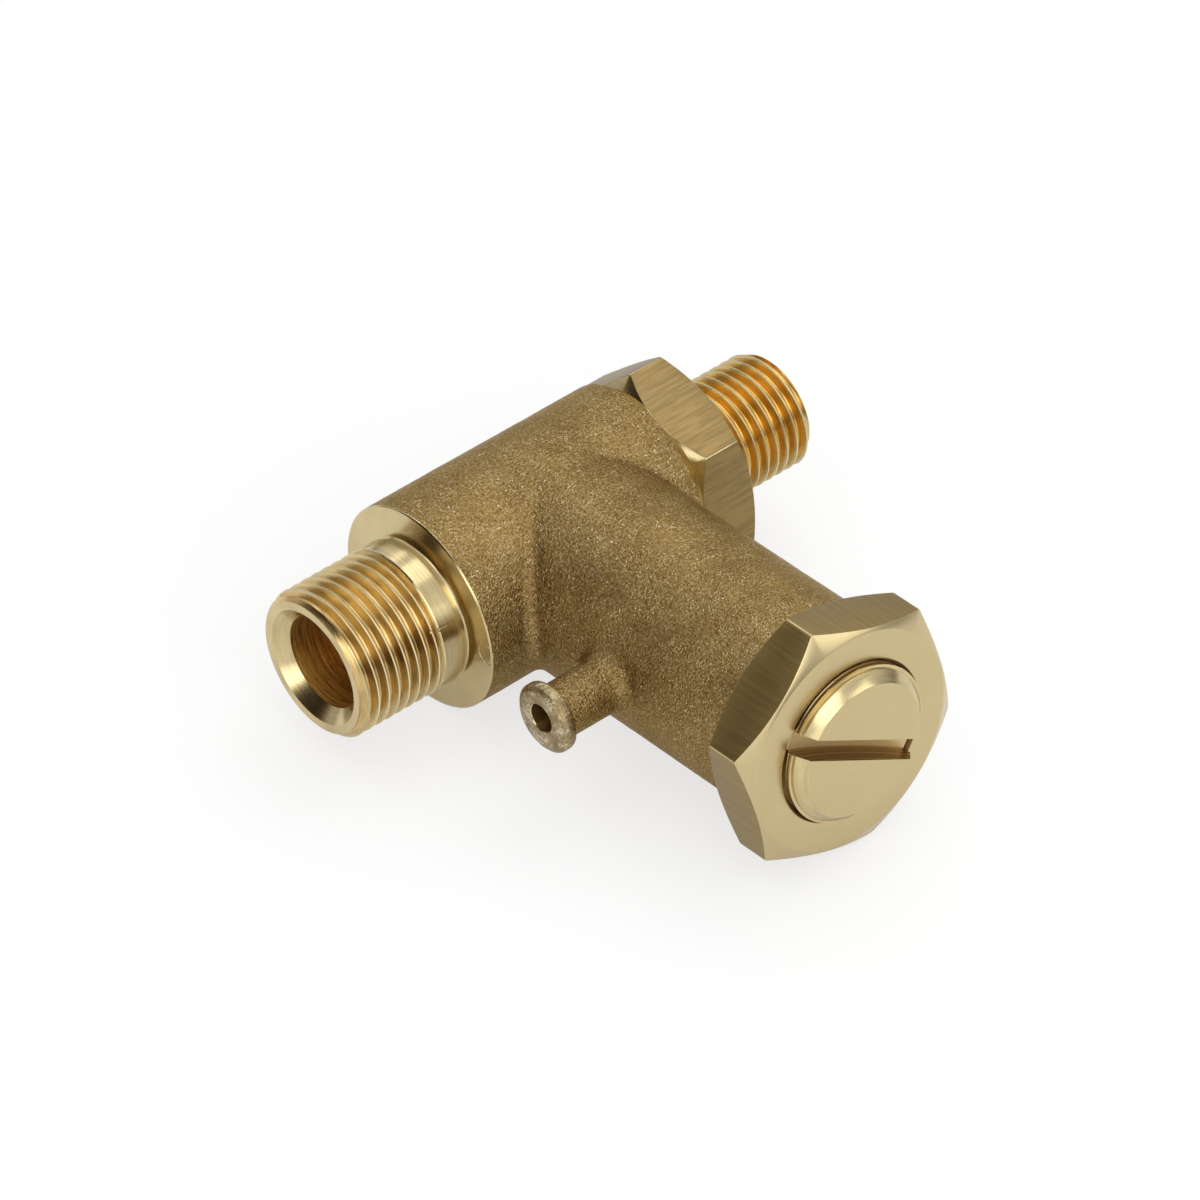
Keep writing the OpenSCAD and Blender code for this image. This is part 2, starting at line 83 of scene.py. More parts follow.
# Places taken from the frame
body_low, body_high = node_box("body")
nipple_low, nipple_high = node_box("outlet_nipple")
nut_low = node_box("lock_nut")[0]
screw_low, screw_high = node_box("adjusting_screw")
inlet_end = body_low[0]
run_r = body_high[2]
branch_len = -body_low[1]
shank_end = nipple_low[0]
outlet_end = nipple_high[0]
nut_t = -nut_low[1] - branch_len
screw_face = -screw_low[1]
nose_y = -screw_high[1]
branch_x = (screw_low[0] + screw_high[0]) / 2
screw_r = (screw_high[0] - screw_low[0]) / 2

# Body
run_len = 29.4
branch_r = 11.55
tee_fillet = 1.3
rim_chamfer = 0.14
relief_bore_r = 7.4
relief_bore_end = 34.5
relief_floor = 9.3
relief_seat_y = 10.1
relief_hole_r = 2.0
seat_lip_w = 0.9

# Inlet stub
inlet_thread_r = 8.33
inlet_chamfer = 0.75
thread_end = -3.35
neck_small_r = 8.05
neck_lip_r = 8.3
undercut_w = 0.95
undercut_r = 7.6
inlet_cone_r = 6.6
inlet_bore_r = 5.25
inlet_bore_end = 7.5
check_floor = 11.5
check_seat_x = 12.3
check_hole_r = 3.0
chamber_r = 6.25
pipe_pitch = 1.337
pipe_depth = 0.86
thread_steps = 14

# Outlet nipple
nipple_af = 21.9
hex_end = 36.6
nipple_turn = 82.0
outlet_thread_r = 6.58
outlet_chamfer = 0.85
outlet_bore_r = 3.5
outlet_mouth = 0.8
shank_r = 8.0
gasket_t = 1.0
pocket_r = 4.2
spring_pocket = 4.0

# Lock nut and adjusting screw
nut_af = 25.9
nut_turn = -17.5
nut_mouth_r = 9.3
hex_face_inset = 0.4
hex_chamfer = math.tan(math.radians(30))
nipple_chamfer = math.tan(math.radians(41))
fit = 0.05
slide_fit = 0.08
screw_pitch = 1.0
screw_depth = 0.6
screw_chamfer = 1.1
runout_w = 0.25
runout_depth = 0.35
slot_w = 2.3
slot_depth = 3.3
slot_saw_r = 50.0
slot_turn = -28.8
ring_section = 1.78
ring_land = 0.8
ring_groove_w = 2.2
nose_end = 36.3

# Drain spigot
spigot_y = 23.1
spigot_tip = -3.15
stem_r = 3.0
bead_r = 3.9
bead_nose_r = 3.4
bead_len = 1.75
spigot_fillet = 1.5
drain_r = 1.6
drain_rise = 0.3

# Springs
check_spring_r = 3.8
check_wire = 0.7
check_turns = 6
relief_spring_r = 5.7
relief_wire = 1.4
relief_turns = 5.5

# Marks of use: where each dent lies (along the run, from its axis, angle) and its half size, and
# the round score on the shoulder
dents = ((-4.45, 8.40, 155.8, (0.28, 0.30, 0.28)),
         (-3.32, 8.36, 157.1, (0.26, 0.34, 0.26)),
         (-12.85, 8.45, 47.0, (0.15, 0.60, 1.3)))
score_r = 1.22
score_y = -10.77
score_z = -0.13


# Shapes

def on_run(place, radius, angle):
    """Points about the run's axis."""
    return np.stack([place, radius * np.cos(angle), radius * np.sin(angle)], axis=-1)


def on_branch(place, radius, angle):
    """Points about the branch's axis."""
    return np.stack([branch_x + radius * np.cos(angle), -place, radius * np.sin(angle)], axis=-1)


def on_spigot(place, radius, angle):
    """Points about the spigot's axis."""
    return np.stack([place, radius * np.cos(angle) - spigot_y, radius * np.sin(angle)], axis=-1)


def ring_angles(count):
    """Even angles round a circle."""
    return np.arange(count) * 2 * math.pi / count


def hex_angles(turn, per_side=40):
    """Angles round a hexagon whose corners lie at turn + 60 k degrees, closer at the corners."""
    corner = np.array([0.25, 0.6, 1.1])
    side = np.concatenate([[0.0], corner, np.linspace(2, 58, per_side), 60 - corner[::-1]])
    return np.radians(np.concatenate([turn + 60 * k + side for k in range(6)]))


def soften(rows, width):
    """Rounds the edge at each row that is marked True: it becomes three rows, width apart."""
    result = []
    last = len(rows) - 1
    for i, (points, sharp) in enumerate(rows):
        if not sharp or i in (0, last):
            result.append(points)
            continue
        either_side = []
        for beside in (rows[i - 1][0] - points, rows[i + 1][0] - points):
            reach = np.linalg.norm(beside, axis=1, keepdims=True) + 1e-9
            either_side.append(points + beside * np.minimum(width / reach, 0.45))
        a, b = either_side
        result += [a, (a + b + 2 * points) / 4, b]
    return result


def loft(rows, closed=False, thread=(0, -1)):
    """Vertices and faces of a skin through rings of points, closed up or with a cap at each end.
    The rings from thread[0] to thread[1] climb a pitch in each turn, so each meets the ring that
    lies a pitch further on."""
    count = len(rows[0])
    vertices = np.concatenate(rows)
    faces = []
    total = len(rows)

    def beside(i):
        return min(i + thread_steps, thread[1]) if thread[0] <= i <= thread[1] else i

    for i in range(total if closed else total - 1):
        j = (i + 1) % total
        low, high = i * count, j * count
        for k in range(count - 1):
            faces.append((low + k, low + k + 1, high + k + 1, high + k))
        faces.append((low + count - 1, beside(i) * count, beside(j) * count, high + count - 1))
    if not closed:
        faces.append(tuple(range(count)))
        faces.append(tuple((total - 1) * count + k for k in range(count)))
    return vertices, faces


def solid(name, vertices, faces):
    """A closed mesh object in millimetres, with doubled points merged and normals outwards."""
    mesh = bpy.data.meshes.new(name)
    mesh.from_pydata([tuple(v) for v in vertices], [], [tuple(f) for f in faces])
    work = bmesh.new()
    work.from_mesh(mesh)
    bmesh.ops.remove_doubles(work, verts=work.verts, dist=1e-5)
    bmesh.ops.dissolve_degenerate(work, edges=work.edges, dist=1e-5)
    bmesh.ops.recalc_face_normals(work, faces=work.faces)
    work.to_mesh(mesh)
    work.free()
    piece = bpy.data.objects.new(name, mesh)
    bpy.context.scene.collection.objects.link(piece)
    return piece


def revolve(name, profile, place_on, count=192):
    """A solid of revolution from [place, radius] points that start and end on the axis."""
    angles = ring_angles(count)
    rows = [place_on(np.full(count, float(p)), np.full(count, float(r)), angles)
            for p, r in profile if r > 0]
    return solid(name, *loft(rows))


def combine(target, tool, operation):
    """Adds the tool to the target, or cuts it away, and deletes the tool."""
    modifier = target.modifiers.new("combine", "BOOLEAN")
    modifier.operation = operation
    modifier.object = tool
    modifier.solver = "MANIFOLD"
    bpy.context.view_layer.update()
    shape = target.evaluated_get(bpy.context.evaluated_depsgraph_get())
    mesh = bpy.data.meshes.new_from_object(shape)
    target.modifiers.clear()
    old = target.data
    target.data = mesh
    bpy.data.meshes.remove(old)
    spare = tool.data
    bpy.data.objects.remove(tool)
    bpy.data.meshes.remove(spare)


def thread_wave(turns):
    """Depth of a pipe thread from 0 at the crest to 1 at the root, for places counted in turns."""
    distance = 1 - np.abs(2 * (turns - np.floor(turns)) - 1)
    flank = np.clip((distance - 0.10) / 0.66, 0, 1)
    return flank + 0.3 * flank * (1 - flank)


def thread_rows(place_on, angles, start, end, pitch, radius):
    """Rings along a right-hand thread from start to end. radius(place, wave) gives its size."""
    turn = (angles - angles[0]) / (2 * math.pi)
    count = int(math.ceil(((end - start) / pitch + 1) * thread_steps)) + 1
    rows = []
    for k in range(count):
        place = start + pitch * (k / thread_steps - 1 + turn)
        place = np.clip(place, start, end)
        wave = thread_wave((place - start) / pitch - turn)
        rows.append(place_on(place, radius(place, wave), angles))
    return rows


def coil_mesh(name, outside_r, wire, turns, length, place_on, start, share=(0, 1)):
    """Round wire of a spring, or a share of it. Its end turns lie close and are ground flat."""
    steps, sides = 56, 16
    last = int(turns * steps)
    t = np.arange(last + 1) / steps
    tip = 0.2 * wire
    close_pitch = 1.02 * wire
    open_pitch = (length - 2 * tip - 2 * close_pitch) / (turns - 2)

    def rise(n):
        return tip + np.minimum(n, 1) * close_pitch + np.maximum(n - 1, 0) * open_pitch

    height = np.where(t < turns - 1, rise(t), length - rise(turns - t))
    rows = []
    for k in range(round(share[0] * last), round(share[1] * last) + 1):
        around = ring_angles(sides) + math.pi / sides
        radius = outside_r - wire / 2 + wire / 2 * np.cos(around)
        place = np.clip(height[k] + wire / 2 * np.sin(around), 0, length)
        rows.append(place_on(start + place, radius, np.full(sides, t[k] * 2 * math.pi)))
    return solid(name, *loft(rows))


def lattice_noise(points, size, seed):
    """Smooth noise from -1 to 1 whose lumps are about size across."""
    cells = 48
    table = np.random.default_rng(seed).random((cells, cells, cells)) * 2 - 1
    scaled = points / size + 1000
    low = np.floor(scaled).astype(int)
    share = scaled - low
    share = share * share * (3 - 2 * share)
    total = 0
    for corner in np.ndindex(2, 2, 2):
        index = (low + corner) % cells
        weight = np.prod(np.where(corner, share, 1 - share), axis=1)
        total = total + weight * table[index[:, 0], index[:, 1], index[:, 2]]
    return total


def surface_net(field, low, high, cell):
    """Points and faces of an even mesh of the surface where field(x, y, z) is 0."""
    axes = [np.arange(a, b, cell) for a, b in zip(low, high)]
    shape = [len(a) for a in axes]
    values = field(*np.meshgrid(*axes, indexing="ij"))
    inside = values < 0
    sums = np.zeros((shape[0] * shape[1] * shape[2], 3))
    hits = np.zeros(len(sums))
    strides = np.array([shape[1] * shape[2], shape[2], 1])
    quads = []
    for axis in range(3):
        here = [slice(0, -1) if a == axis else slice(1, None) for a in range(3)]
        there = [slice(1, None)] * 3
        crossing = inside[tuple(here)] != inside[tuple(there)]
        index = np.argwhere(crossing) + np.array([0 if a == axis else 1 for a in range(3)])
        step = np.eye(3, dtype=int)[axis]
        first = values[tuple(index.T)]
        second = values[tuple((index + step).T)]
        share = first / (first - second)
        position = np.array(low) + cell * (index + share[:, None] * step)
        u, v = [np.eye(3, dtype=int)[(axis + k) % 3] for k in (1, 2)]
        ring = [index - u - v, index - v, index, index - u]
        ids = [r @ strides for r in ring]
        for one in ids:
            np.add.at(sums, one, position)
            np.add.at(hits, one, 1)
        quad = np.stack(ids, axis=1)
        flip = first > 0
        quad[flip] = quad[flip][:, ::-1]
        quads.append(quad)
    quads = np.concatenate(quads)
    used, faces = np.unique(quads, return_inverse=True)
    points = sums[used] / hits[used][:, None]
    for _ in range(3):
        gradient = slope(field, points)
        steep = np.sum(gradient ** 2, axis=1)[:, None]
        points = points - field(*points.T)[:, None] * gradient / steep
    return points, faces.reshape(quads.shape)


def slope(field, points, step=0.01):
    """Gradient of a field at points."""
    parts = []
    for shift in np.eye(3) * step:
        parts.append((field(*(points + shift).T) - field(*(points - shift).T)) / (2 * step))
    return np.stack(parts, axis=1)


# Forged body

def blended(a, b, radius):
    """Union of two distances with a fillet between them."""
    corner = np.hypot(np.maximum(radius - a, 0), np.maximum(radius - b, 0))
    return np.maximum(radius, np.minimum(a, b)) - corner


def forging(x, y, z):
    """Distance from the forged skin: run, branch and spigot stem, longer than the machined body."""
    over = 1.5
    run = np.maximum(np.hypot(y, z) - run_r, np.abs(x - run_len / 2) - run_len / 2 - over)
    branch = np.maximum(np.hypot(x - branch_x, z) - branch_r, y)
    branch = np.maximum(branch, -y - branch_len - over)
    level = np.clip(1 - z * z / (run_r * branch_r), 0.02, 1)
    tee = blended(run, branch, tee_fillet * level)
    stem = np.hypot(y + spigot_y, z) - stem_r
    stem = np.maximum(stem, np.maximum(spigot_tip + bead_len / 2 - x, x - branch_x))
    return blended(tee, stem, spigot_fillet)


def forged_skin():
    """The forging with its parting line, soft unevenness and coarse grain."""
    cell = 0.29
    low = (spigot_tip, -branch_len - 2.2, -run_r - 0.8)
    high = (run_len + 2.4, run_r + 0.8, run_r + 0.9)
    points, faces = surface_net(forging, low, high, cell)
    normals = slope(forging, points)
    normals /= np.linalg.norm(normals, axis=1, keepdims=True)
    wave = 0.030 * lattice_noise(points, 6.0, 3) + 0.018 * lattice_noise(points, 2.4, 5)
    grain = 0.012 * lattice_noise(points, 0.9, 7) + 0.010 * lattice_noise(points, 0.55, 9)
    flash = 0.05 * np.exp(-(points[:, 2] / 0.3) ** 2)
    flash = flash * (0.75 + 0.5 * lattice_noise(points, 3.0, 11))
    return solid("forged_tee_body", points + normals * (wave + grain + flash)[:, None], faces)


def inlet_stub():
    """Threaded inlet stub with its neck and undercut, solid through."""
    angles = ring_angles(216)

    def radius(place, wave):
        chamfer = inlet_thread_r - inlet_chamfer + (place - inlet_end)
        fade = np.clip((thread_end - place) / (0.5 * pipe_pitch), 0, 1)
        return np.minimum(inlet_thread_r - pipe_depth * wave * fade, chamfer)

    rows = thread_rows(on_run, angles, inlet_end, thread_end, pipe_pitch, radius)
    thread = (0, len(rows) - 1)
    neck = [(thread_end + 0.02, neck_small_r), (-undercut_w - 0.08, neck_lip_r),
            (-undercut_w, neck_lip_r - 0.06), (-undercut_w, undercut_r + 0.3),
            (-0.3, undercut_r + 0.3), (-0.15, undercut_r + 0.35), (-0.05, undercut_r + 0.45),
            (0, undercut_r + 0.62), (0.6, undercut_r + 0.62)]
    for place, r in neck:
        rows.append(on_run(np.full(len(angles), place), np.full(len(angles), r), angles))
    return solid("stub", *loft(rows, thread=thread))


def bead():
    """Bead at the spigot's tip."""
    back = spigot_tip + bead_len
    edge = bead_r - bead_nose_r
    profile = [(spigot_tip, axis_r), (spigot_tip, bead_nose_r - 0.15),
               (spigot_tip + 0.05, bead_nose_r), (spigot_tip + edge - 0.1, bead_r - 0.08),
               (spigot_tip + edge + 0.1, bead_r), (back - edge, bead_r),
               (back - edge * 0.6, bead_r - 0.06), (back - edge * 0.25, bead_r - 0.3),
               (back, stem_r + 0.1), (back + 0.35, stem_r - 0.12), (back + 0.6, axis_r)]
    return revolve("bead", profile, on_spigot, 96)


def gouge(x, radius, angle, half_size):
    """Rounded tool for a dent on the run; half_size is along the run, outwards and round it."""
    work = bmesh.new()
    where = Matrix.Translation((x, 0, 0)) @ Matrix.Rotation(math.radians(angle), 4, "X")
    where = where @ Matrix.Translation((0, radius, 0)) @ Matrix.Diagonal((*half_size, 1))
    bmesh.ops.create_icosphere(work, subdivisions=3, radius=1, matrix=where)
    mesh = bpy.data.meshes.new("gouge")
    work.to_mesh(mesh)
    work.free()
    tool = bpy.data.objects.new("gouge", mesh)
    bpy.context.scene.collection.objects.link(tool)
    return tool


def ring_score():
    """Tool for the faint ring that something round left on the shoulder."""
    around = ring_angles(8)
    out = score_r + 0.06 * np.cos(around)
    rows = [np.stack([0.05 * np.sin(around), out * math.cos(a) + score_y,
                      out * math.sin(a) + score_z], axis=-1) for a in ring_angles(72)]
    return solid("score", *loft(rows, closed=True))


def body_piece():
    """The forging with its ends machined, the stub and bead joined on, and every bore cut."""
    skin = forged_skin()
    far = 60
    room_r = 9.0
    t = rim_chamfer
    ends = [(0, axis_r), (0, run_r - t), (2 * t, run_r + t), (2 * t, far), (run_len - 2 * t, far),
            (run_len - 2 * t, run_r + t), (run_len, run_r - t), (run_len, axis_r)]
    envelope = revolve("envelope", ends, on_run)
    spigot_room = solid("room", *loft([on_spigot(np.full(4, p), np.full(4, room_r), ring_angles(4))
                                       for p in (spigot_tip - 3, branch_x)]))
    combine(envelope, spigot_room, "UNION")
    combine(skin, envelope, "INTERSECT")
    mouth = [(-far, axis_r), (-far, far), (branch_len - 2 * t, far),
             (branch_len - 2 * t, branch_r + t), (branch_len, branch_r - t), (branch_len, axis_r)]
    combine(skin, revolve("envelope", mouth, on_branch), "INTERSECT")
    for part in (inlet_stub, bead):
        combine(skin, part(), "UNION")
    for passage in (run_passage, branch_passage, drain_passage):
        combine(skin, passage(), "DIFFERENCE")
    for x, radius, angle, half_size in dents:
        combine(skin, gouge(x, radius, angle, half_size), "DIFFERENCE")
    combine(skin, ring_score(), "DIFFERENCE")
    return skin


def run_passage():
    """Cone, inlet bore, check seat, chamber and nipple socket."""
    lip_r = check_hole_r + seat_lip_w
    socket_r = shank_r + fit
    gasket_x = shank_end - gasket_t
    cone_end = inlet_end + inlet_cone_r - inlet_bore_r
    profile = [(inlet_end - 1, axis_r), (inlet_end - 1, inlet_cone_r + 1), (cone_end, inlet_bore_r),
               (inlet_bore_end - 0.9, inlet_bore_r), (inlet_bore_end, check_hole_r + 0.9),
               (inlet_bore_end, check_hole_r + 0.25), (inlet_bore_end + 0.25, check_hole_r),
               (check_seat_x, check_hole_r), (check_seat_x, lip_r), (check_floor, lip_r),
               (check_floor, chamber_r), (gasket_x, chamber_r), (gasket_x, socket_r),
               (run_len + 1, socket_r), (run_len + 1, axis_r)]
    return revolve("passage", profile, on_run)


def branch_passage():
    """Relief hole, seat, piston bore and screw thread."""
    lip_r = relief_hole_r + seat_lip_w
    thread_r = screw_r + fit
    profile = [(0, axis_r), (0, relief_hole_r), (relief_seat_y, relief_hole_r),
               (relief_seat_y, lip_r), (relief_floor, lip_r), (relief_floor, relief_bore_r),
               (relief_bore_end, relief_bore_r), (relief_bore_end, thread_r),
               (branch_len + 1, thread_r), (branch_len + 1, axis_r)]
    return revolve("passage", profile, on_branch)


def drain_passage():
    """The drain hole with its chamfered mouth."""
    angles = ring_angles(64)
    profile = [(spigot_tip - 0.5, drain_r + 0.56), (spigot_tip + 0.1, drain_r),
               (relief_bore_r + 2, drain_r)]
    rows = [on_spigot(np.full(64, p), np.full(64, r), angles) + [0, 0, drain_rise]
            for p, r in profile]
    return solid("passage", *loft(rows))


# Turned pieces

def hex_radius(angles, turn, af):
    """Distance of a hexagon's side from its axis, with the bar's slightly rounded corners."""
    offset = (np.degrees(angles) - turn) % 60 - 30
    flat = af / 2 / np.cos(np.radians(offset))
    corner = af / 2 / math.cos(math.radians(30))
    limit = corner - 0.10
    return np.where(flat > limit, limit + (flat - limit) * 0.35, flat)


def hex_rows(place_on, angles, turn, af, start, end, first_chamfer=None):
    """Rings of a hexagonal bar with both ends chamfered, from its face to its other face. The
    chamfer at its start may be steeper than the other."""
    inset_r = af / 2 - hex_face_inset
    side = hex_radius(angles, turn, af)
    drop = (side - inset_r) * hex_chamfer
    first_drop = (side - inset_r) * (first_chamfer or hex_chamfer)
    flat = np.full(len(angles), inset_r)
    here = np.full(len(angles), float(start))
    there = np.full(len(angles), float(end))
    return [(place_on(here, flat, angles), True), (place_on(here + first_drop, side, angles), True),
            (place_on(there - drop, side, angles), True), (place_on(there, flat, angles), True)]


def plain_rows(place_on, angles, profile):
    """Rings of a turned profile of [place, radius, sharp] points."""
    count = len(angles)
    return [(place_on(np.full(count, float(p)), np.full(count, float(r)), angles), sharp)
            for p, r, sharp in profile]


def nipple_piece():
    """The nipple: bore and shank, hexagon, and thread."""
    angles = hex_angles(nipple_turn)
    inside = plain_rows(on_run, angles, [
        (outlet_end, outlet_thread_r - outlet_chamfer - 0.12, True),
        (outlet_end, outlet_bore_r + outlet_mouth, True),
        (outlet_end - outlet_mouth, outlet_bore_r, True),
        (shank_end + spring_pocket, outlet_bore_r, True),
        (shank_end + spring_pocket, pocket_r, True),
        (shank_end, pocket_r, True), (shank_end, shank_r - 0.5, True),
        (shank_end + 0.5, shank_r, True), (run_len, shank_r, False)])
    outside = hex_rows(on_run, angles, nipple_turn, nipple_af, run_len, hex_end, nipple_chamfer)
    foot = plain_rows(on_run, angles, [(hex_end, outlet_thread_r + 0.4, False)])

    def radius(place, wave):
        end_chamfer = outlet_thread_r - outlet_chamfer + (outlet_end - place)
        fade = np.clip((place - hex_end) / (0.9 * pipe_pitch), 0, 1)
        return np.minimum(outlet_thread_r - pipe_depth * wave * fade, end_chamfer)

    thread = thread_rows(on_run, angles, hex_end, outlet_end, pipe_pitch, radius)
    rows = soften(inside + outside + foot, 0.07)
    first = len(rows)
    rows = rows + thread
    return solid("threaded_nipple", *loft(rows, closed=True, thread=(first, len(rows) - 1)))


def nut_piece():
    """The lock nut with a cone at each mouth of its hole."""
    angles = hex_angles(nut_turn)
    face = branch_len + nut_t
    hole_r = screw_r + fit
    depth = nut_mouth_r - hole_r
    outside = hex_rows(on_branch, angles, nut_turn, nut_af, branch_len, face)
    hole = plain_rows(on_branch, angles, [
        (face, nut_mouth_r, True), (face - depth, hole_r, True), (branch_len + depth, hole_r, True),
        (branch_len, nut_mouth_r, True)])
    rows = outside + hole
    rows = soften([rows[-1]] + rows + [rows[0]], 0.08)[1:-1]
    return solid("chamfered_lock_nut", *loft(rows, closed=True))


def screw_piece():
    """The adjusting screw: nose with the ring's groove, thread, head, and the sawn slot."""
    angles = ring_angles(240)
    groove_r = relief_bore_r - ring_section
    nose_r = relief_bore_r - slide_fit
    groove = nose_y + ring_land
    chamfer_start = screw_face - screw_chamfer
    runout_r = screw_r - runout_depth
    face_r = runout_r - screw_chamfer
    nose = plain_rows(on_branch, angles, [
        (nose_y, 0.5, False), (nose_y, nose_r - 0.5, True), (nose_y + 0.5, nose_r, True),
        (groove, nose_r, True), (groove, groove_r, True), (groove + ring_groove_w, groove_r, True),
        (groove + ring_groove_w, nose_r, True), (nose_end, nose_r, False)])

    def radius(place, wave):
        fade_in = np.clip((place - nose_end) / screw_pitch, 0, 1)
        fade_out = np.clip((chamfer_start - 2.2 * runout_w - place) / screw_pitch, 0, 1)
        cut = screw_depth * wave * fade_in * fade_out + runout_depth * (1 - fade_in)
        return np.maximum(screw_r - cut, groove_r)

    start, end = nose_end, chamfer_start - runout_w
    thread = thread_rows(on_branch, angles, start, end, screw_pitch, radius)
    head = plain_rows(on_branch, angles, [
        (end, screw_r, False), (end + 0.02, runout_r, False), (chamfer_start, runout_r, True),
        (screw_face, face_r, True), (screw_face, 0.5, False)])
    nose = soften(nose, 0.05)
    turns = (len(nose), len(nose) + len(thread) - 1)
    piece = solid("slotted_screw", *loft(nose + thread + soften(head, 0.05), thread=turns))
    count = 720
    rim = ring_angles(count)
    turn = math.radians(slot_turn)
    along = np.array([math.cos(turn), 0, math.sin(turn)])
    across = np.array([-math.sin(turn), 0, math.cos(turn)])
    centre = np.array([branch_x, -(screw_face - slot_depth + slot_saw_r), 0])
    edge = np.cos(rim)[:, None] * along + np.sin(rim)[:, None] * np.array([0, 1, 0])
    disc = [centre + side * slot_w / 2 * across + slot_saw_r * edge for side in (-1, 1)]
    combine(piece, solid("saw", *loft(disc)), "DIFFERENCE")
    return piece


# Materials

class Shader:
    """A small helper that adds nodes to one material and links them."""

    def __init__(self, name):
        self.material = bpy.data.materials.new(name)
        self.material.use_nodes = True
        self.tree = self.material.node_tree
        self.shader = self.tree.nodes["Principled BSDF"]

    def add(self, kind, **inputs):
        node = self.tree.nodes.new(kind)
        for key, value in inputs.items():
            self.feed(node, key, value)
        return node

    def feed(self, node, key, value):
        numbered = key[0] == "i" and key[1:].isdigit()
        socket = node.inputs[int(key[1:]) if numbered else key]
        if isinstance(value, bpy.types.NodeSocket):
            self.tree.links.new(value, socket)
        else:
            socket.default_value = value

    def math(self, operation, a, b=0.0):
        node = self.add("ShaderNodeMath", i0=a, i1=b)
        node.operation = operation
        return node.outputs[0]

    def vector(self, operation, a, b=(0, 0, 0)):
        node = self.add("ShaderNodeVectorMath", i0=a, i1=b)
        node.operation = operation
        return node.outputs["Vector"]

    def noise(self, vector, scale, detail=2.0, roughness=0.5):
        node = self.add("ShaderNodeTexNoise", Vector=vector, Scale=scale, Detail=detail,
                        Roughness=roughness)
        return node.outputs["Fac"]

    def ramp(self, value, *stops):
        node = self.add("ShaderNodeValToRGB", Fac=value)
        ramp = node.color_ramp
        while len(ramp.elements) < len(stops):
            ramp.elements.new(0.5)
        for element, (position, colour) in zip(ramp.elements, stops):
            element.position = position
            element.color = (*colour, 1) if len(colour) == 3 else colour
        return node.outputs["Color"]

    def level(self, value, low, high):
        """Value from 0..1 stretched to low..high."""
        node = self.add("ShaderNodeMapRange", Value=value)
        node.inputs["To Min"].default_value = low
        node.inputs["To Max"].default_value = high
        return node.outputs["Result"]

    def place(self):
        """Object coordinates in millimetres."""
        where = self.add("ShaderNodeTexCoord").outputs["Object"]
        node = self.add("ShaderNodeVectorMath", i0=where)
        node.operation = "SCALE"
        node.inputs["Scale"].default_value = 1 / MM
        return node.outputs["Vector"]

    def bump(self, height, strength, distance, normal=None):
        node = self.add("ShaderNodeBump", Height=height, Strength=strength, Distance=distance)
        if normal is not None:
            self.feed(node, "Normal", normal)
        return node.outputs["Normal"]


def forged_brass():
    """Sand-blasted forging: fine sharp grain, a little brown between, and small painted highlight
    specks.
    """
    s = Shader("forged_brass")
    place = s.place()
    coarse = s.noise(place, 0.25, 2)
    grain = s.noise(place, 3.9, 2, 0.6)
    grit = s.noise(place, 6.2, 1.5, 0.5)
    facets = s.add("ShaderNodeTexVoronoi", Vector=place, Scale=3.6).outputs["Color"]
    patches = s.ramp(s.noise(place, 0.16, 2), (0.38, (0.55, 0.55, 0.55)), (0.62, (1, 1, 1)))
    mixed = s.math("ADD", s.math("MULTIPLY", grain, 0.6), s.math("MULTIPLY", coarse, 0.15))
    mixed = s.math("ADD", mixed, s.math("MULTIPLY", grit, 0.25))
    tint = s.ramp(mixed, (0.36, (0.160, 0.086, 0.020)), (0.50, (0.280, 0.186, 0.066)),
                  (0.60, (0.365, 0.260, 0.112)), (0.69, (0.54, 0.42, 0.22)))
    # Painted highlight specks: bright colour added to the base where the fine grit noise peaks,
    # clustered by a medium noise.
    painted_glints = s.vector("MULTIPLY", s.ramp(grit, (0.61, (0, 0, 0)), (0.68, (0.50, 0.47, 0.38))),
                      s.ramp(s.noise(place, 0.9, 2), (0.44, (0.15, 0.15, 0.15)), (0.60, (1, 1, 1))))
    s.feed(s.shader, "Base Color", s.vector("ADD", tint, painted_glints))
    s.shader.inputs["Metallic"].default_value = 1.0
    s.shader.inputs["Specular Tint"].default_value = (0.80, 0.72, 0.58, 1)
    s.feed(s.shader, "Roughness", s.level(grit, 0.30, 0.46))
    tilt = s.vector("MULTIPLY", s.vector("SUBTRACT", facets, (0.5, 0.5, 0.5)), (0.24, 0.24, 0.24))
    normal = s.add("ShaderNodeNewGeometry").outputs["Normal"]
    leaning = s.vector("NORMALIZE", s.vector("ADD", tilt, normal))
    height = s.math("ADD", s.math("MULTIPLY", grain, 0.9), s.math("MULTIPLY", grit, 0.35))
    s.feed(s.shader, "Normal", s.bump(height, patches, 0.25 * MM, leaning))
    return s.material


def worn_brass():
    """The spigot's bead, rubbed smoother than the skin."""
    s = Shader("worn_brass")
    place = s.place()
    smear = s.noise(place, 0.8, 3, 0.6)
    grain = s.noise(place, 2.8, 2, 0.55)
    tint = s.ramp(s.math("ADD", s.math("MULTIPLY", smear, 0.6), s.math("MULTIPLY", grain, 0.4)),
                  (0.38, (0.22, 0.155, 0.068)), (0.52, (0.34, 0.262, 0.142)),
                  (0.64, (0.62, 0.54, 0.38)))
    s.feed(s.shader, "Base Color", tint)
    s.shader.inputs["Metallic"].default_value = 1.0
    s.feed(s.shader, "Roughness", s.level(grain, 0.24, 0.44))
    s.feed(s.shader, "Normal", s.bump(grain, 0.8, 0.14 * MM))
    return s.material


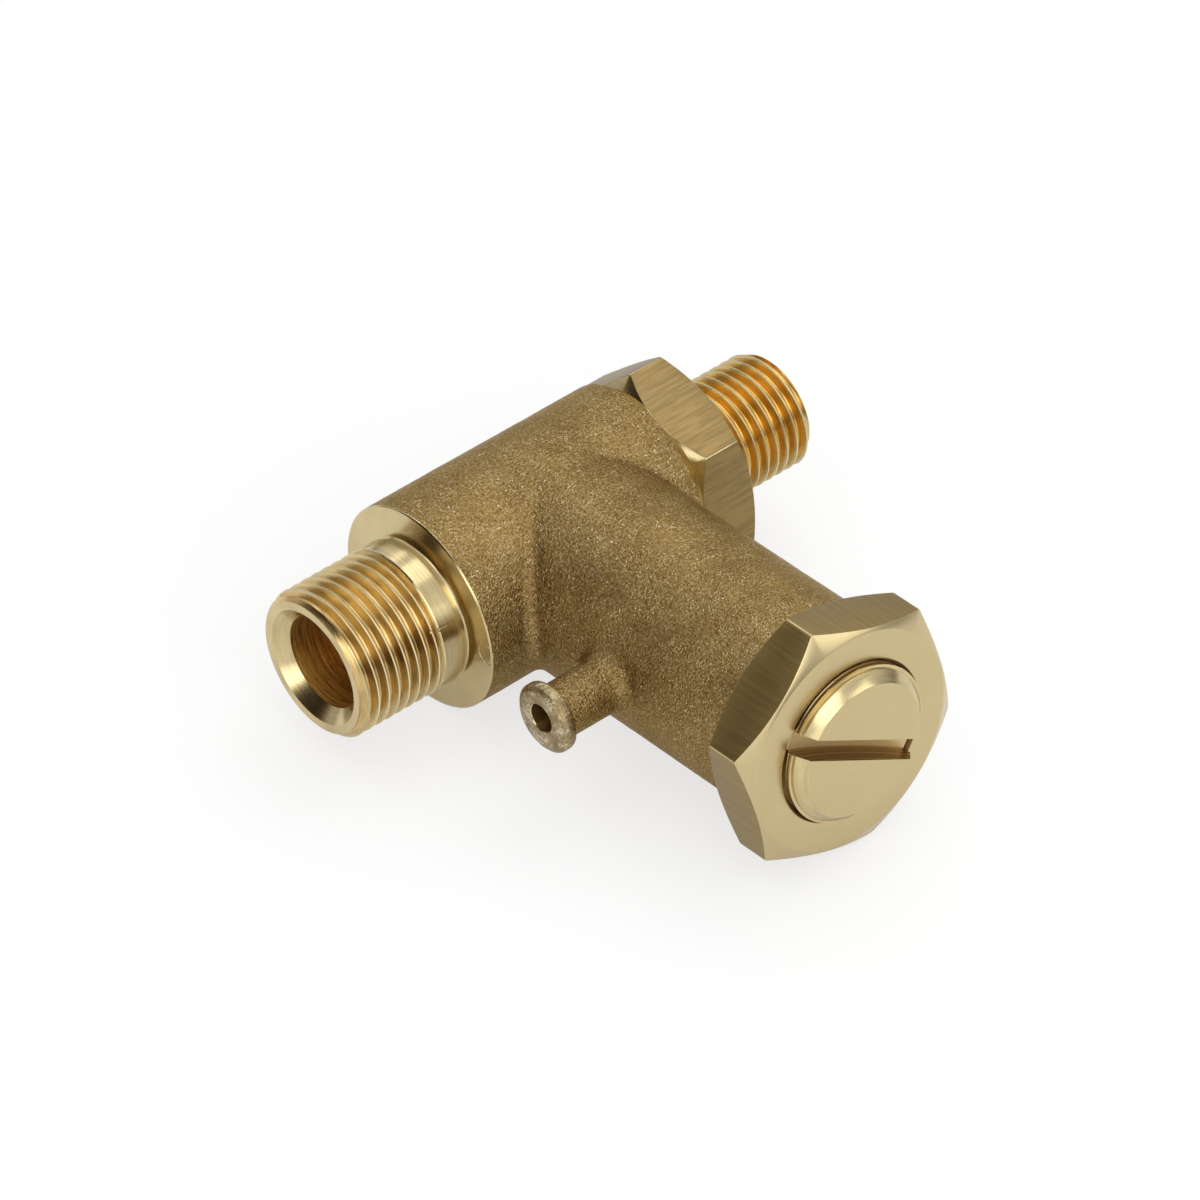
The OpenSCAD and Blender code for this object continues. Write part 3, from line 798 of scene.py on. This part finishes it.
def sawn_brass(name, dark, middle, light, roughness):
    """Walls and floor of the screw's slot, with lines that follow the saw's rim."""
    s = Shader(name)
    place = s.place()
    split = s.add("ShaderNodeSeparateXYZ", Vector=place)
    x, y, z = split.outputs["X"], split.outputs["Y"], split.outputs["Z"]
    turn = math.radians(slot_turn)
    along = s.math("ADD", s.math("MULTIPLY", s.math("SUBTRACT", x, branch_x), math.cos(turn)),
                   s.math("MULTIPLY", z, math.sin(turn)))
    deep = s.math("ADD", y, screw_face - slot_depth + slot_saw_r)
    ring = s.add("ShaderNodeCombineXYZ", X=length(s, along, deep)).outputs["Vector"]
    lines = s.noise(ring, 2.2, 3, 0.7)
    s.feed(s.shader, "Base Color", s.ramp(lines, (0.40, dark), (0.55, middle), (0.68, light)))
    s.shader.inputs["Metallic"].default_value = 1.0
    s.shader.inputs["Roughness"].default_value = roughness
    s.feed(s.shader, "Normal", s.bump(lines, 0.8, 0.10 * MM))
    return s.material


def axis_parts(s, place_on):
    """Place along a turned piece's axis and distance from it, both in millimetres."""
    place = s.place()
    split = s.add("ShaderNodeSeparateXYZ", Vector=place)
    x, y, z = split.outputs["X"], split.outputs["Y"], split.outputs["Z"]
    if place_on is on_run:
        return place, x, length(s, y, z)
    return place, y, length(s, s.math("SUBTRACT", x, branch_x), z)


def length(s, a, b):
    """Length of the two parts a and b."""
    return s.math("SQRT", s.math("ADD", s.math("MULTIPLY", a, a), s.math("MULTIPLY", b, b)))


def darker(colour, share):
    """Colour taken down by that share."""
    return tuple((1 - share) * c for c in colour)


def turned_brass(name, place_on, roughness=0.20, base=(0.63, 0.51, 0.275), lines=1.0, spacing=14.0,
                 uneven=0.10, metallic=1.0):
    """Bright brass with fine tool marks that run round the axis and fade in and out."""
    s = Shader(name)
    place, along, radius = axis_parts(s, place_on)
    marks = s.add("ShaderNodeCombineXYZ", X=along, Y=radius)
    fine = s.noise(marks.outputs["Vector"], spacing, 3, 0.6)
    stretch = (spacing / 4, 0.25, 0.25) if place_on is on_run else (0.25, spacing / 4, 0.25)
    smear = s.noise(s.vector("MULTIPLY", place, stretch), 1.0, 3)
    mixed = s.math("ADD", s.math("MULTIPLY", fine, 0.35), s.math("MULTIPLY", smear, 0.65))
    s.feed(s.shader, "Base Color", s.ramp(mixed, (0.36, darker(base, 2 * uneven)), (0.60, base)))
    s.shader.inputs["Metallic"].default_value = metallic
    swing = 2 * uneven
    s.feed(s.shader, "Roughness", s.level(mixed, roughness * (1 - swing), roughness * (1 + swing)))
    s.feed(s.shader, "Normal", s.bump(fine, 0.35 * lines, 0.012 * MM))
    return s.material


def drawn_brass(name, place_on, roughness=0.36, base=(0.32, 0.228, 0.088), stain=0.07):
    """Brass bar whose die lines run along its axis."""
    s = Shader(name)
    place = s.place()
    stretch = (0.09, 1, 1) if place_on is on_run else (1, 0.03, 1)
    squeezed = s.vector("MULTIPLY", place, stretch)
    lines = s.noise(squeezed, 8.5, 4, 0.7)
    broad = s.noise(squeezed, 2.2, 3, 0.6)
    s.feed(s.shader, "Base Color", s.ramp(broad, (0.40, darker(base, 2 * stain)), (0.60, base)))
    s.shader.inputs["Metallic"].default_value = 1.0
    s.feed(s.shader, "Roughness", s.level(lines, roughness * 0.75, roughness * 1.35))
    s.feed(s.shader, "Normal", s.bump(lines, 0.3, 0.03 * MM))
    return s.material


def plain_finish(name, dark, light, roughness, metallic, grain, bump):
    """Rubber, fibre or wire: one colour with a fine variation."""
    s = Shader(name)
    noise = s.noise(s.place(), grain, 3, 0.6)
    s.feed(s.shader, "Base Color", s.ramp(noise, (0.35, dark), (0.65, light)))
    s.shader.inputs["Metallic"].default_value = metallic
    s.feed(s.shader, "Roughness", s.level(noise, roughness * 0.85, roughness * 1.15))
    s.feed(s.shader, "Normal", s.bump(noise, 0.4, bump * MM))
    return s.material


def dress(piece, slots, choose=None):
    """Gives a piece its materials; choose(centres) names each face's slot by number."""
    mesh = piece.data
    mesh.materials.clear()
    for material in slots:
        mesh.materials.append(material)
    centres = np.zeros(len(mesh.polygons) * 3)
    mesh.polygons.foreach_get("center", centres)
    index = np.zeros(len(mesh.polygons), int)
    if choose is not None:
        index = choose(centres.reshape(-1, 3))
    mesh.polygons.foreach_set("material_index", index.astype(int))
    mesh.polygons.foreach_set("use_smooth", np.ones(len(mesh.polygons), bool))


def place_piece(piece, body, node, angle=28):
    """Turns a piece into metres, shades it smooth below that edge angle and sets it in the frame.
    A piece given no body is left unattached."""
    piece.data.transform(Matrix.Scale(MM, 4))
    piece.data.set_sharp_from_angle(angle=math.radians(angle))
    if body:
        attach(piece, body)
    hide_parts(node)


def body_faces(centres):
    """Which of the body's materials each face has."""
    x, y, z = centres.T
    skin = np.abs(forging(x, y, z)) < 0.2
    t = 2 * rim_chamfer
    skin &= (x > t) | (y < -run_r)
    skin &= (x < run_len - 0.01) & (-y < branch_len - t)
    spigot = (y < -run_r) & (x < branch_x - branch_r)
    from_drain = np.hypot(y + spigot_y, z - drain_rise)
    skin |= spigot & (from_drain > drain_r + 0.3)
    inside_branch = (y < -relief_floor + 1) & (np.hypot(x - branch_x, z) < branch_r - 0.8)
    mouth = -y > branch_len - t
    side = np.hypot(y, z)
    bore = (x > inlet_end + 0.1) & (side < inlet_bore_r + near)
    shoulder = (np.abs(x) < near) & (side > inlet_thread_r)
    root = (x < thread_end) & (side < inlet_thread_r - 0.2) & (side > inlet_cone_r + 0.7)
    crest = (x > inlet_end + inlet_chamfer) & (x < thread_end) & (side > inlet_thread_r - near)
    turned = np.select([bore, shoulder, root, crest], [4, 3, 5, 7], 1)
    rubbed = (x < spigot_tip + bead_len - 0.2) & (y < -run_r)
    # The drain hole takes the dark brass of painted shade.
    hole = spigot & (from_drain < drain_r + near)
    return np.select([hole, skin & rubbed, skin, inside_branch | mouth], [8, 6, 0, 2], turned)


def nipple_faces(centres):
    """Which of the nipple's materials each face has."""
    x, y, z = centres.T
    flat = (x > run_len) & (x < hex_end) & (np.hypot(y, z) > nipple_af / 2 - 0.01)
    offset = (np.degrees(np.arctan2(z, y)) - nipple_turn) % 60 - 30
    depth = np.hypot(y, z) * np.cos(np.radians(offset))
    side = np.hypot(y, z)
    root = (x > hex_end) & (x < outlet_end - 0.3)
    root &= (side < outlet_thread_r - 0.2) & (side > outlet_bore_r + 1)
    crest = (x > hex_end + 0.3) & (x < outlet_end - outlet_chamfer)
    crest &= np.abs(side - outlet_thread_r) < near
    return np.select([flat & (depth > nipple_af / 2 - 0.03), root, crest], [1, 2, 3], 0)


def nut_faces(centres):
    """Which of the nut's materials each face has."""
    x, y, z = centres.T
    side = np.hypot(x - branch_x, z)
    offset = (np.degrees(np.arctan2(z, x - branch_x)) - nut_turn) % 60 - 30
    depth = side * np.cos(np.radians(offset))
    # The faces of the hole take the dark brass of painted shade.
    return np.select([depth > nut_af / 2 - 0.03, side < nut_mouth_r], [1, 2], 0)


def screw_faces(centres):
    """Which of the screw's materials each face has."""
    x, y, z = centres.T
    turn = math.radians(slot_turn)
    across = np.abs(math.cos(turn) * z - math.sin(turn) * (x - branch_x))
    wall = (np.abs(across - slot_w / 2) < 0.01) & (-y > screw_face - slot_depth)
    bottom = (across < slot_w / 2) & (-y > screw_face - slot_depth - 0.01) & (-y < screw_face - 0.5)
    side = np.hypot(x - branch_x, z)
    # The thread under the head takes the dark brass of painted shade.
    thread = (-y < screw_face - screw_chamfer - 0.3) & (side < screw_r - near)
    return np.select([wall, bottom, -y > screw_face - 0.02, thread], [2, 3, 1, 4], 0)


forged = forged_brass()
turned_run = turned_brass("turned_brass_run", on_run)
faced_run = turned_brass("faced_brass_run", on_run, 0.22, lines=0.5, uneven=0.06)
faced_branch = turned_brass("faced_brass_branch", on_branch, 0.28, (0.565, 0.458, 0.25), 0.1,
                            uneven=0.02)
# The bore's brass is brighter and more orange than the other turned brass: painted light inside the
# deep bore.
bore_painted_light = turned_brass("bore_brass_painted_light", on_run, 0.28, (1.0, 0.66, 0.20), 8.0, 12.0, 0.26, metallic=0.93)
# The thread's valleys are deeper orange, with stronger dark streaks, than the other turned brass:
# painted shade in the grooves.
inlet_roots_painted_shade = turned_brass("thread_roots_inlet_painted_shade", on_run, 0.20, (0.66, 0.47, 0.20), 6.0, 7.0, 0.22)
outlet_roots_painted_shade = turned_brass("thread_roots_outlet_painted_shade", on_run, 0.22, (0.66, 0.385, 0.090), 5.0, 7.0,
                            0.18)
# The thread's crest lines are paler than the other turned brass: a painted highlight along each
# crest.
crests_painted_highlight = turned_brass("thread_crests_painted_highlight", on_run, 0.45, (0.86, 0.73, 0.45), 1.0, uneven=0.1)
# Dark brown brass for the nut's hole, the screw's thread under its head and the drain hole: painted
# shade in the gap round the screw and down the hole.
gap_shade_brass = turned_brass("brass_painted_shade", on_branch, 0.35, (0.31, 0.172, 0.052), 2.0, 5.0, 0.3,
                       metallic=0.6)
worn = worn_brass()
# One sawn brass twice: the slot's walls darker, as painted shade, and its floor paler, as painted
# light.
sawn = sawn_brass("sawn_wall_painted_shade", (0.20, 0.10, 0.022), (0.36, 0.215, 0.065), (0.62, 0.47, 0.24), 0.36)
sawn_floor_painted_light = sawn_brass("sawn_floor_painted_light", (0.62, 0.47, 0.22), (0.80, 0.64, 0.34), (0.92, 0.80, 0.52),
                        0.55)
turned_branch = turned_brass("turned_brass_branch", on_branch)
drawn_run = drawn_brass("drawn_brass_run", on_run, 0.40, (0.285, 0.20, 0.082), 0.12)
drawn_branch = drawn_brass("drawn_brass_branch", on_branch)
wire = plain_finish("spring_wire", (0.42, 0.43, 0.44), (0.62, 0.63, 0.64), 0.3, 1.0, 3.0, 0.01)
rubber = plain_finish("rubber", (0.012, 0.012, 0.012), (0.035, 0.034, 0.033), 0.6, 0.0, 4.0, 0.03)
fibre = plain_finish("fibre", (0.36, 0.31, 0.24), (0.52, 0.46, 0.37), 0.8, 0.0, 3.0, 0.03)

body = body_piece()
dress(body, [forged, turned_run, turned_branch, faced_run, bore_painted_light, inlet_roots_painted_shade, worn, crests_painted_highlight, gap_shade_brass],
      body_faces)
place_piece(body, "valve_body", "body")

nipple = nipple_piece()
dress(nipple, [turned_run, drawn_run, outlet_roots_painted_shade, crests_painted_highlight], nipple_faces)
place_piece(nipple, "valve_body", "outlet_nipple")

nut = nut_piece()
dress(nut, [faced_branch, drawn_branch, gap_shade_brass], nut_faces)
place_piece(nut, "valve_body", "lock_nut")

screw = screw_piece()
dress(screw, [turned_branch, faced_branch, sawn, sawn_floor_painted_light, gap_shade_brass], screw_faces)
place_piece(screw, "screw", "adjusting_screw")

spring_low, spring_high = node_box("check_spring")
check_spring = coil_mesh("check_coil", check_spring_r, check_wire, check_turns,
                         spring_high[0] - spring_low[0], on_run, spring_low[0])
dress(check_spring, [wire])
place_piece(check_spring, "valve_body", "check_spring")
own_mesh(check_spring)

# The strong spring is pressed from both ends. It is made as two halves, the inner and the outer
# share of its coil, and neither half is given a body.
spring_low, spring_high = node_box("relief_spring")
inner_end, outer_end = spring_high[1] - 1.1 * relief_wire, spring_low[1] + 1.1 * relief_wire
for half, moving, share, end in (("relief_coil_inner", "relief", (0, 0.5), inner_end),
                                 ("relief_coil_outer", "seat", (0.5, 1), outer_end)):
    relief_spring = coil_mesh(half, relief_spring_r, relief_wire, relief_turns,
                              spring_high[1] - spring_low[1], on_branch, -spring_high[1], share)
    dress(relief_spring, [wire])
    place_piece(relief_spring, None, "relief_spring")
    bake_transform(relief_spring)

for node, material in (("nipple_gasket", fibre), ("check_poppet", turned_run),
                       ("check_seal", rubber), ("relief_piston", turned_branch),
                       ("relief_seal", rubber), ("spring_seat", turned_branch),
                       ("screw_o_ring", rubber)):
    for material_slot in frame["nodes"][node].material_slots:
        material_slot.link = "OBJECT"
        material_slot.material = material


# Stage

def rest_plane():
    """Point and normal of the surface that the valve lies on: it touches the nut's lowest corner,
    the nipple's lowest corner and the run's shoulder."""
    touching = []
    for piece in (nut, nipple):
        points = np.array([v.co for v in piece.data.vertices]) / MM
        touching.append(points[np.argmin(points[:, 2])])
    touching.append(np.array([0, 0, -run_r]))
    normal = np.cross(touching[0] - touching[2], touching[1] - touching[2])
    normal /= np.linalg.norm(normal)
    if normal[2] < 0:
        normal = -normal
    return touching[2], normal


def floor():
    """Pale floor that keeps the valve's shadow and looks evenly lit to the camera and the metal."""
    seen_glow, mirrored_glow = 0.72, 0.35
    point, up = rest_plane()
    reach = 900
    side = np.cross(up, [0, 1, 0])
    side /= np.linalg.norm(side)
    ahead = np.cross(up, side)
    corners = [point + reach * (a * side + b * ahead)
               for a, b in ((-1, -1), (1, -1), (1, 1), (-1, 1))]
    mesh = bpy.data.meshes.new("floor")
    mesh.from_pydata([tuple(c * MM) for c in corners], [], [(0, 1, 2, 3)])
    piece = bpy.data.objects.new("floor", mesh)
    bpy.context.scene.collection.objects.link(piece)
    s = Shader("floor")
    s.shader.inputs["Base Color"].default_value = (0.92, 0.92, 0.92, 1)
    s.shader.inputs["Roughness"].default_value = 0.9
    s.shader.inputs["Specular IOR Level"].default_value = 0.0
    rays = s.add("ShaderNodeLightPath").outputs
    mirrored = s.math("MAXIMUM", rays["Is Glossy Ray"], rays["Is Transmission Ray"])
    seen = s.math("MAXIMUM", s.math("MULTIPLY", rays["Is Camera Ray"], seen_glow),
                  s.math("MULTIPLY", mirrored, mirrored_glow))
    glow = s.add("ShaderNodeEmission", Color=(1, 1, 1, 1), Strength=1.0)
    blend = s.add("ShaderNodeMixShader")
    s.tree.links.new(seen, blend.inputs[0])
    s.tree.links.new(s.shader.outputs[0], blend.inputs[1])
    s.tree.links.new(glow.outputs[0], blend.inputs[2])
    s.tree.links.new(blend.outputs[0], s.tree.nodes["Material Output"].inputs[0])
    piece.data.materials.append(s.material)


def lamp(name, place, aim, size, power):
    """A soft square lamp at a place in millimetres, turned towards a point."""
    data = bpy.data.lights.new(name, "AREA")
    data.size = size * MM
    data.energy = power
    item = bpy.data.objects.new(name, data)
    bpy.context.scene.collection.objects.link(item)
    item.location = Vector(place) * MM
    direction = Vector(aim) - Vector(place)
    item.rotation_euler = direction.to_track_quat("-Z", "Y").to_euler()


def camera():
    """The photograph's camera: a 300 mm lens about a metre away, looking down at 38 degrees."""
    azimuth, elevation, roll = (math.radians(a) for a in (51.944, 38.005, -4.232))
    distance = 1037.39
    across, upwards = -5.717, 6.687
    outward = math.cos(elevation)
    ahead = Vector((math.cos(azimuth) * outward, math.sin(azimuth) * outward, -math.sin(elevation)))
    right = ahead.cross(Vector((0, 0, 1))).normalized()
    up = right.cross(ahead)
    right, up = (math.cos(roll) * right + math.sin(roll) * up,
                 math.cos(roll) * up - math.sin(roll) * right)
    centre = Vector((branch_x, 0, 0))
    place = centre - distance * ahead - across * right - upwards * up
    data = bpy.data.cameras.new("camera")
    data.lens = 300
    data.sensor_width = 36
    data.clip_end = 100
    item = bpy.data.objects.new("camera", data)
    bpy.context.scene.collection.objects.link(item)
    turn = Matrix((right, up, -ahead)).transposed().to_4x4()
    item.matrix_world = Matrix.Translation(place * MM) @ turn
    bpy.context.scene.camera = item


def softbox(name, azimuth, elevation, half_angle, level):
    """A lamp 450 mm off in that direction, as bright as level when seen in a mirror."""
    distance = 450
    azimuth, elevation = math.radians(azimuth), math.radians(elevation)
    aim = (20, -15, 0)
    outward = distance * math.cos(elevation)
    place = (aim[0] + outward * math.cos(azimuth), aim[1] + outward * math.sin(azimuth),
             distance * math.sin(elevation))
    size = 2 * distance * math.tan(math.radians(half_angle))
    lamp(name, place, aim, size, level * math.pi * (size * MM) ** 2)


def world():
    """Soft room light: bright above, darker towards the horizon, and three dark cards, high and
    behind on the left, as the nut's dark flats show in the photograph."""
    scene_world = bpy.data.worlds.new("studio")
    scene_world.use_nodes = True
    tree = scene_world.node_tree
    where = tree.nodes.new("ShaderNodeTexCoord").outputs["Generated"]

    def shade(direction, stops):
        """Colour ramp over the cosine of the angle from a direction."""
        dot = tree.nodes.new("ShaderNodeVectorMath")
        dot.operation = "DOT_PRODUCT"
        tree.links.new(where, dot.inputs[0])
        dot.inputs[1].default_value = Vector(direction).normalized()
        stretch = tree.nodes.new("ShaderNodeMapRange")
        stretch.inputs["From Min"].default_value = -1
        tree.links.new(dot.outputs["Value"], stretch.inputs["Value"])
        ramp = tree.nodes.new("ShaderNodeValToRGB")
        tree.links.new(stretch.outputs["Result"], ramp.inputs["Fac"])
        while len(ramp.color_ramp.elements) < len(stops):
            ramp.color_ramp.elements.new(0.5)
        for element, (position, colour) in zip(ramp.color_ramp.elements, stops):
            element.position = (position + 1) / 2
            element.color = (*colour, 1)
        return ramp.outputs["Color"]

    height = shade((0, 0, 1), ((-0.2, (0.40, 0.40, 0.40)), (0.0, (0.26, 0.25, 0.24)),
                               (0.10, (0.42, 0.415, 0.41)), (0.40, (0.86, 0.86, 0.86)),
                               (1.0, (0.92, 0.92, 0.92))))
    card = ((0.915, (1, 1, 1)), (0.967, (0.42, 0.36, 0.27)), (0.988, (0.06, 0.042, 0.018)))
    colour = height
    for middle in ((-0.60, 0.60, 0.53), (-0.75, 0.33, 0.57), (-0.83, 0.02, 0.56)):
        product = tree.nodes.new("ShaderNodeVectorMath")
        product.operation = "MULTIPLY"
        tree.links.new(colour, product.inputs[0])
        tree.links.new(shade(middle, card), product.inputs[1])
        colour = product.outputs["Vector"]
    tree.links.new(colour, tree.nodes["Background"].inputs["Color"])
    bpy.context.scene.world = scene_world


floor()
camera()
world()
for lamp_name, azimuth, elevation, half_angle, level in (
        ("left", -168, 7, 15, 2.2), ("front", -104, 36, 16, 1.8), ("right", -58, 20, 13, 1.3),
        ("top", 5, 62, 17, 1.4), ("back", 52, 43, 11, 1.2), ("behind_inlet", -162, 26, 5, 1.6),
        ("high_left", 172, 57, 10, 1.4), ("low_front", -118, 6, 12, 1.0)):
    softbox(lamp_name, azimuth, elevation, half_angle, level)
bpy.context.scene.view_settings.view_transform = "Standard"
